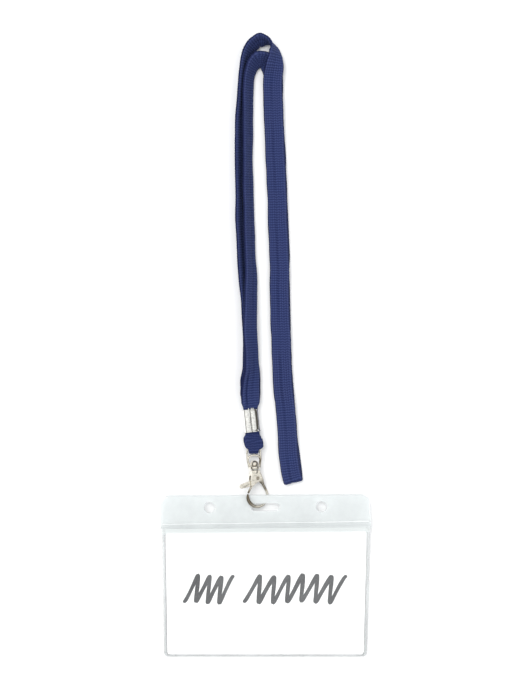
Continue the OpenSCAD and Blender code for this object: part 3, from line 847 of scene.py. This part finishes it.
def swivel_stud():
    """The shank and its domed head, a little out of round."""
    dome_r, dome_y, dome_rise = 1.9, -6.95, 1.62
    climb = np.linspace(0, math.pi / 2 - 0.02, 14)
    dome = [(dome_r * math.cos(a), dome_y + dome_rise * math.sin(a)) for a in climb]
    profile = [(0, -11.4), (0.98, -11.4), (0.98, BASE_TOP), (1.55, -8.14), (1.86, -7.9), (1.93, -7.4)]
    profile += dome + [(0, dome_y + dome_rise)]

    def uneven(a, y):
        return 0.008 * math.sin(3 * a + 0.5) if y > -8 else 0

    stud = lathe(profile, 72, wave=uneven)
    finished("stud_dome", *stud, HOOK_METAL, "hook", "hook_metal", "swivel_stud", at=HOOK)


def stud_washer():
    profile = rounded([(1.08, -10.1), (2.3, -10.1), (2.36, -9.9), (2.3, -9.7), (1.08, -9.7)], 0.1)
    washer = lathe(profile + [profile[0]], 72)
    finished("stud_ring", *washer, NICKEL, "hook", "nickel_plate", "stud_washer", at=HOOK)


def hook_body():
    """A collar over two cheeks that hold the trigger, and the fixed side of the ring."""
    collar = [(0, -12.2), (1.5, -12.1), (1.8, -11.7), (1.9, -11.0), (1.9, -10.5), (1.8, -10.22), (0, -10.2)]
    spine = in_space(eased([(2.5, -13.4), (3.25, -15.9), (4.5, -18.45)], 5)[:-1])
    path = np.vstack([spine, in_space(arc(RING_MID, RING_R, RING_START, RING_END, 46))])
    girth = [(0, 0.85), (0.2, 0.68), (0.35, 0.66), (0.55, 0.74), (0.8, 0.95), (0.93, 0.82), (1, 0.5)]
    low, high = CHEEK_Z
    parts = [lathe(collar), prism(CROWN, -CROWN_Z, CROWN_Z), prism(CHEEK, low, high)]
    parts += [prism(CHEEK, -high, -low), prism(RAIL, -RAIL_Z, RAIL_Z), tube(path, tapered(path, *girth), 24)]
    cast("hook_casting", parts, "hook", "hook_body", HOOK)


def gate_lever():
    """The trigger: a boss on the rivet, a thumb tab with a flat pad, and the arm that closes the ring."""
    pad = eased([(-3.4, -16.8, 0.3), (-6.2, -17.4, 0.34), (-8.1, -17.85, 0.4)], 6)
    arm = eased([(-0.5, -16.0), (-0.95, -16.7), (-2.2, -18.3), (-3.3, -19.8), (-4.15, -21.15)], 5)
    parts = [
        prism(disc(PIVOT, 1.35), -0.3, 0.7),
        prism(TAB, *TAB_Z),
        tube(pad, tapered(pad, (0, 0.9), (0.6, 1.15), (1, 0.9)), squeeze=0.45),
        tube(arm, tapered(arm, (0, 0.62), (0.5, 0.62), (1, 0.5))),
    ]
    cast("gate_casting", parts, "gate", "gate_lever", HOOK, voxel=0.1, passes=4)


def gate_rivet():
    """A shank with two peened heads, each with the punch's shallow dimple."""
    head = [(0, 1.86), (0.22, 1.9), (0.4, 2), (0.6, 1.99), (0.82, 1.87), (0.9, 1.74), (0.86, 1.7)]
    head.append((0.62, 1.7))

    def uneven(a, z):
        return 0.02 * math.sin(5 * a) if abs(z) > 1.72 else 0

    turned_pin = lathe([(r, -z) for r, z in head] + head[::-1], 48, axis="Z", wave=uneven)
    place = HOOK @ moved(*PIVOT, 0)
    finished("gate_rivet_heads", *turned_pin, RIVET_METAL, "hook", "rivet_metal", "gate_rivet", at=place)


def gate_spring():
    """A turn of wire round the rivet, with a short leg and a long one."""
    r, wire_r, low, rise = 0.85, 0.1, -0.66, 0.06
    start, end, short_leg, long_leg = 150, 225, 2.0, 3.3
    turns = [
        (r * math.cos(a), r * math.sin(a), low + rise * a / math.pi)
        for a in np.linspace(math.radians(start), math.radians(end + 360), 60)
    ]
    first = (*on_circle((0, 0), short_leg, start), low)
    last = (*on_circle((0, 0), long_leg, end), turns[-1][2])
    wire = tube([first, *turns, last], wire_r, 12)
    place = HOOK @ moved(*PIVOT, 0)
    finished("gate_spring_wire", *wire, SPRING_STEEL, "hook", "spring_steel", "gate_spring", at=place)


swivel_bail()
swivel_stud()
stud_washer()
hook_body()
gate_lever()
gate_rivet()
gate_spring()

# ---- vinyl holder

HEADER_W, HEADER_H, HEADER_TOP, FLAP_T = 104.2, 16.6, -74.4, 0.5
POCKET_W, POCKET_H, FILM_T, WELD_T, WELD_W = 102.8, 64.9, 0.35, 0.5, 1.2
HEADER_END = HEADER_TOP - HEADER_H
POCKET_END = HEADER_END - POCKET_H
SLOT_MID, SLOT_W, SLOT_H, HOLE_X, HOLE_D = (0, -80.6), 14.0, 3.6, 27.8, 5.4
ZIP_Y, GROOVE_Y, ZIP_END = -88.5, 0.7, 1.2
# The flaps lie this far each side of the middle
FLAP_GAP = 0.05
FOOT_Z, SLOT_Z = 0.62, 3.28
TILT = math.degrees(math.atan((SLOT_Z - FOOT_Z) / (SLOT_MID[1] - POCKET_END)))
HOLDER = moved(0, POCKET_END, FOOT_Z) @ turned(TILT, "X") @ moved(0, -POCKET_END, 0)

# At each LEAN_Y, the slope of the holder's seams, and how far its two sides drift to the right
LEAN_Y = (-156, -93.6, -91, -87, -82, -74)
LEAN_RISE = (0, 0.007, 0.010, 0.019, 0.010, 0.006)
LEFT_DRIFT = (0.8, -0.05, 0, 0, 0, 0)
RIGHT_DRIFT = (0.0, 1.5, 1.3, 1.0, 0.7, 0.5)

# The films' pressed border: its width, slope and depth, and the raised line inside it
PRESS_W, PRESS_SLOPE, PRESS_DEPTH = 1.5, 0.8, 0.13
LINE_IN, PRESS_LINE_HALF, LINE_RISE = 2.3, 0.25, 0.06
BORDER_CUTS = (0.2, 0.6, 1.1, 1.5, 1.8, 2.05, 2.3, 2.55, 3.0, 4.0)
# The flaps' cuts, up from their lower edge, and the groove along it
FLAP_CUTS = (0.15, 0.35, 0.55, 0.75, 0.95, 2.0, 4.0, 6.5, 9.0, 11.5, 13.5, 15.0, 15.6)
FLAP_LINE, FLAP_LINE_HALF, FLAP_LINE_DEPTH = 0.55, 0.3, 0.08


def leaning(points):
    """The soft holder lies askew: its seams climb to the right and its sides draw in to the foot."""
    points = np.array(points, float)
    x, y = points[:, 0].copy(), points[:, 1].copy()
    share = np.clip(x / HEADER_W + 0.5, 0, 1)
    points[:, 0] += (1 - share) * np.interp(y, LEAN_Y, LEFT_DRIFT) + share * np.interp(y, LEAN_Y, RIGHT_DRIFT)
    points[:, 1] += x * np.interp(y, LEAN_Y, LEAN_RISE)
    return points


def round_box(centre, w, h, radii, steps=8):
    """A box outline with its own radius at each corner: lower right, upper right, upper left, lower left."""
    corners = ((1, -1, -90), (1, 1, 0), (-1, 1, 90), (-1, -1, 180))
    out = []
    for (sx, sy, start), r in zip(corners, radii):
        middle_of_arc = centre[0] + sx * (w / 2 - r), centre[1] + sy * (h / 2 - r)
        out += arc(middle_of_arc, r, start, start + 90, steps)
    return out


def soft_sheet(outlines, low, high, edge, cuts_x, cuts_y, height):
    """A sheet with rounded edges, cut into cells so that it can ripple, as points and faces."""
    data = bpy.data.curves.new("outline", "CURVE")
    data.dimensions = "2D"
    data.fill_mode = "BOTH"
    data.extrude = (high - low) / 2 - edge
    data.bevel_depth = edge
    data.bevel_resolution = 3
    data.offset = -edge
    for outline in outlines:
        line = data.splines.new("POLY")
        line.points.add(len(outline) - 1)
        line.points.foreach_set("co", np.array([(x, y, 0, 1) for x, y in outline], float).ravel())
        line.use_cyclic_u = True
    curve = placed("outline", data)
    work = bmesh.new()
    work.from_mesh(shaped(curve))
    bpy.data.objects.remove(curve)
    bmesh.ops.remove_doubles(work, verts=work.verts, dist=1e-4)
    for axis, cuts in ((0, cuts_x), (1, cuts_y)):
        for cut in cuts:
            way = Vector(np.eye(3)[axis])
            everything = work.verts[:] + work.edges[:] + work.faces[:]
            bmesh.ops.bisect_plane(work, geom=everything, plane_co=way * cut, plane_no=way, dist=1e-4)
    bmesh.ops.triangulate(work, faces=[f for f in work.faces if len(f.verts) > 4])
    points = np.array([v.co for v in work.verts])
    faces = [tuple(v.index for v in f.verts) for f in work.faces]
    work.free()
    points[:, 2] += (low + high) / 2
    points[:, 2] = height(points[:, 0], points[:, 1], points[:, 2])
    return points, faces


def lay_sheet(name, node, sheet, material, body, slot):
    """A leaning sheet, whose flat faces are shaded flat beside small rounded edges."""
    points, faces = sheet
    piece = finished(name, leaning(points), faces, material, body, slot, node, at=HOLDER)
    weigh = piece.modifiers.new("weigh", "WEIGHTED_NORMAL")
    weigh.keep_sharp = True


def flap(node, side, shift, taller, phase, beads):
    """A punched header flap in front (side 1) or behind (-1). beads are its zip's, as (y, radius)."""
    name = node + "_flap"
    low, high = sorted((side * FLAP_GAP, side * (FLAP_GAP + FLAP_T)))

    def height(x, y, z):
        wave = 0.025 * np.sin(x / 9.5 + phase) * np.cos(y / 5.3 + phase)
        lifted = 0.05 * np.clip((y - HEADER_TOP + 1.2) / 1.2, 0, 1)
        line = FLAP_LINE_DEPTH * bump(y - HEADER_END, FLAP_LINE, FLAP_LINE_HALF) * (np.sign(z) == side)
        return z + wave + lifted * side - line * side

    box = (shift, HEADER_TOP - HEADER_H / 2 + taller / 2)
    outlines = [
        round_box(box, HEADER_W - 0.6, HEADER_H + taller, (0.3, 4.2, 4.5, 0.3)),
        round_box(SLOT_MID, SLOT_W, SLOT_H, [SLOT_H / 2 - 0.01] * 4, 12),
        disc((-HOLE_X, SLOT_MID[1]), HOLE_D / 2, 48),
        disc((HOLE_X, SLOT_MID[1]), HOLE_D / 2, 48),
    ]
    cuts_y = [HEADER_END + up for up in FLAP_CUTS]
    sheet = soft_sheet(outlines, low, high, 0.12, np.arange(-50, 51, 3.6), cuts_y, height)
    reach = HEADER_W / 2 - ZIP_END
    for number, (y, r) in enumerate(beads):
        across = np.linspace(-reach, reach, 60)
        path = [(x, y + 0.06 * math.sin(x / 7 + phase), high if side > 0 else low) for x in across]
        ridge, skin = tube(path, r, 12)
        # The beads are drawn in the whiter vinyl, a painted highlight along the zip
        bead = f"{name}_ridge_{number}"
        finished(bead, leaning(ridge), skin, RIDGE_HIGHLIGHT, "holder", "frosted_vinyl", node, at=HOLDER)
    lay_sheet(name, node, sheet, FROSTED, "holder", "frosted_vinyl")


def film(node, side):
    """A clear film in front (side 1) or behind (-1), pressed along its border and rippled inside."""
    low, high = sorted((side * WELD_T / 2, side * (WELD_T / 2 + FILM_T)))

    def height(x, y, z):
        inner = np.minimum(POCKET_W / 2 - np.abs(x), y - POCKET_END)
        press = PRESS_DEPTH * (1 - np.clip((inner - PRESS_W) / PRESS_SLOPE, 0, 1))
        line = LINE_RISE * bump(inner, LINE_IN, PRESS_LINE_HALF)
        swell = 0.03 * np.sin(x / 11 + 1.1) * np.sin((y - POCKET_END) / 9) * np.clip(inner / 4 - 0.6, 0, 1)
        outer_face = np.abs(z) > (WELD_T + FILM_T) / 2
        return z + side * outer_face * (line - press) + side * np.abs(swell)

    top = HEADER_END - 0.02
    outline = round_box((0, (top + POCKET_END) / 2), POCKET_W, top - POCKET_END, (2.5, 0.3, 0.3, 2.5), 10)
    cuts_x = [s * (POCKET_W / 2 - d) for s in (-1, 1) for d in BORDER_CUTS] + list(np.arange(-44, 45, 4.4))
    cuts_y = [POCKET_END + d for d in BORDER_CUTS] + list(np.arange(POCKET_END + 8, top, 4.4))
    sheet = soft_sheet([outline], low, high, 0.1, cuts_x, cuts_y, height)
    lay_sheet(node + "_film", node, sheet, CLEAR, "holder", "clear_vinyl")


def pocket_weld():
    """The welded rim between the films, with the electrode's fine cross ticks."""
    steps, tick_pitch, tick_rise = 900, 0.7, 0.03
    w, low, high, r = POCKET_W / 2 - 0.12, POCKET_END + 0.12, HEADER_END - 0.2, 2.4
    corners = arc((w - r, low + r), r, 0, -90, 10) + arc((r - w, low + r), r, -90, -180, 10)
    route = np.array([(w, high), *corners, (-w, high)])
    far = walk(route)
    at = np.linspace(0, far[-1], steps)
    line = np.stack([np.interp(at, far, route[:, k]) for k in (0, 1)], 1)
    way = normal_rows(np.gradient(line, axis=0))
    inward = np.stack([way[:, 1], -way[:, 0]], 1)
    tick = tick_rise * np.sign(np.sin(2 * math.pi * at / tick_pitch))
    half = WELD_T / 2 - 0.04
    # The rim's section as (depth from the outer edge, share of the half thickness)
    section = ((0, 0.5), (0.15, 1), (WELD_W - 0.2, 1), (WELD_W - 0.02, 0.4), (WELD_W - 0.2, -1), (0.15, -1))
    points = np.zeros((steps, len(section), 3))
    for k, (depth, z) in enumerate(section):
        points[:, k, :2] = line + inward * depth
        points[:, k, 2] = (half + (tick if abs(z) == 1 else 0)) * z
    points, faces = leaning(points.reshape(-1, 3)), ring_faces(steps, len(section))
    finished("weld_rim", points, faces, WELD, "holder", "weld_vinyl", "pocket_weld", at=HOLDER, smooth=False)


flap("header_front", 1, 0.25, -0.35, 0.4, [(ZIP_Y, 0.3)])
groove = [(ZIP_Y - GROOVE_Y, 0.2), (ZIP_Y + GROOVE_Y, 0.2)]
flap("header_back", -1, -0.2, 0.0, 2.2, groove)
film("pocket_front", 1)
film("pocket_back", -1)
pocket_weld()

# ---- card and its pen strokes

CARD_W, CARD_H, CARD_T, CARD_END = 99.0, 61.6, 0.36, -154.6
# The strokes' middle, half height, and slant as the shift of their tops
PEN_Y, PEN_RISE, PEN_SLANT = -121.7, 6.5, 2.0
INK_T, INK_Z = 0.012, 0.014


def card_wave(x, y):
    return 0.03 * np.sin(x / 14) * np.sin((y - CARD_END) / 17)


def card_insert():
    outline = round_box((0, CARD_END + CARD_H / 2), CARD_W, CARD_H, [1.5] * 4, 6)
    cuts_x, cuts_y = np.arange(-45, 46, 5), np.arange(CARD_END + 5, CARD_END + CARD_H, 5)
    half = CARD_T / 2
    sheet = soft_sheet([outline], -half, half, 0.05, cuts_x, cuts_y, lambda x, y, z: z + card_wave(x, y))
    lay_sheet("card_sheet", "card_insert", sheet, CARD, "card", "white_card")


def pen_scribble(name, start, end, turns, widths):
    """One slanted felt-pen zigzag: a thin film of ink that swells and thins."""
    turn = np.linspace(0, turns * math.pi, turns * 22)
    swing = -np.arcsin(0.9 * np.cos(turn)) / math.asin(0.9)
    tall = PEN_RISE * swing * (1 + 0.08 * np.sin(turn * 0.77 + start))
    line = np.column_stack([np.linspace(start, end, len(turn)) + PEN_SLANT * swing, tall + PEN_Y, 0 * turn])
    wide = np.interp(np.linspace(0, 1, len(line)), np.linspace(0, 1, len(widths)), widths)
    wide = wide * (1 + 0.05 * np.sin(np.arange(len(line)) / 2.3))
    points, faces = tube(line, wide / 2, 16)
    points = np.array(points)
    points[:, 2] = CARD_T / 2 + INK_Z + card_wave(points[:, 0], points[:, 1]) + points[:, 2] * INK_T
    finished(name, leaning(points), faces, INK, "card", None, at=HOLDER)


card_insert()
pen_scribble("pen_scribble_left", -38.6, -18.4, 7, [1.8, 2.1, 1.9, 2.2, 1.8])
pen_scribble("pen_scribble_right", -8.6, 37.6, 13, [1.9, 2.2, 1.9, 2.2, 2.0, 2.2, 1.8])

# ---- floor, light and world

FLOOR_R, FLOOR_Z, FLOOR_SIDES = 6, -0.0001, 96
SOFT_LIGHT, BACKGROUND = (0.785, 0.79, 0.79, 1), (0.93, 0.935, 0.94, 1)
# What shiny surfaces mirror, from the horizon (0) to overhead (1)
ROOM_LOW, ROOM_HIGH = (0.30, 0.29, 0.27, 1), (1.25, 1.24, 1.2, 1)
ROOM = (
    (0.10, (0.09, 0.08, 0.07, 1)),
    (0.34, (0.09, 0.085, 0.075, 1)),
    (0.47, (0.22, 0.21, 0.19, 1)),
    (0.60, (0.80, 0.80, 0.78, 1)),
    (0.84, (0.90, 0.90, 0.88, 1)),
)


def lay_floor():
    mesh = bpy.data.meshes.new("floor")
    turns = np.linspace(0, 2 * math.pi, FLOOR_SIDES, endpoint=False)
    rim = [(FLOOR_R * math.cos(a), FLOOR_R * math.sin(a), FLOOR_Z) for a in turns]
    mesh.from_pydata(rim, [], [tuple(range(FLOOR_SIDES))])
    mesh.materials.append(floor_look())
    floor = placed("floor", mesh)


def softbox(name, place, size, power, colour):
    light = bpy.data.lights.new(name, "AREA")
    light.shape = "RECTANGLE"
    light.size, light.size_y = size
    light.energy = power
    light.color = colour
    box = placed(name, light)
    box.location = place
    box.rotation_mode = "QUATERNION"
    box.rotation_quaternion = Vector(place).to_track_quat("Z", "Y")
    box.visible_glossy = False


def studio_world():
    """Even light from all round, a pale background, and a room for shiny surfaces to mirror."""
    world = bpy.data.worlds.new("studio")
    world.use_nodes = True
    tree = world.node_tree
    tree.nodes.clear()
    direction = put(tree, "TexCoord").outputs["Generated"]
    x, y, z = put(tree, "SeparateXYZ", {0: direction}).outputs
    upward = plus(tree, times(tree, z, 0.90), times(tree, x, 0.12))
    room = put(tree, "ValToRGB", {0: plus(tree, upward, times(tree, y, 0.06))})
    stops = room.color_ramp.elements
    stops[0].position, stops[0].color = 0.0, ROOM_LOW
    stops[1].position, stops[1].color = 1.0, ROOM_HIGH
    for position, colour in ROOM:
        stops.new(position).color = colour
    ray = put(tree, "LightPath").outputs
    soft = between(tree, ray["Is Glossy Ray"], SOFT_LIGHT, room.outputs[0])
    shade = between(tree, ray["Is Camera Ray"], soft, BACKGROUND)
    glow = put(tree, "Background", {"Color": shade, "Strength": 1.0})
    tree.links.new(glow.outputs[0], put(tree, "OutputWorld").inputs[0])
    bpy.context.scene.world = world


lay_floor()
softbox("key", (-0.6, 0.65, 1.75), (1.5, 1.3), 24, (1.0, 0.99, 0.97))
softbox("fill", (0.9, -0.5, 1.7), (1.5, 1.5), 8, (0.97, 0.98, 1.0))
studio_world()
view = bpy.context.scene.view_settings
view.view_transform, view.look, view.exposure = "Standard", "None", 0.0
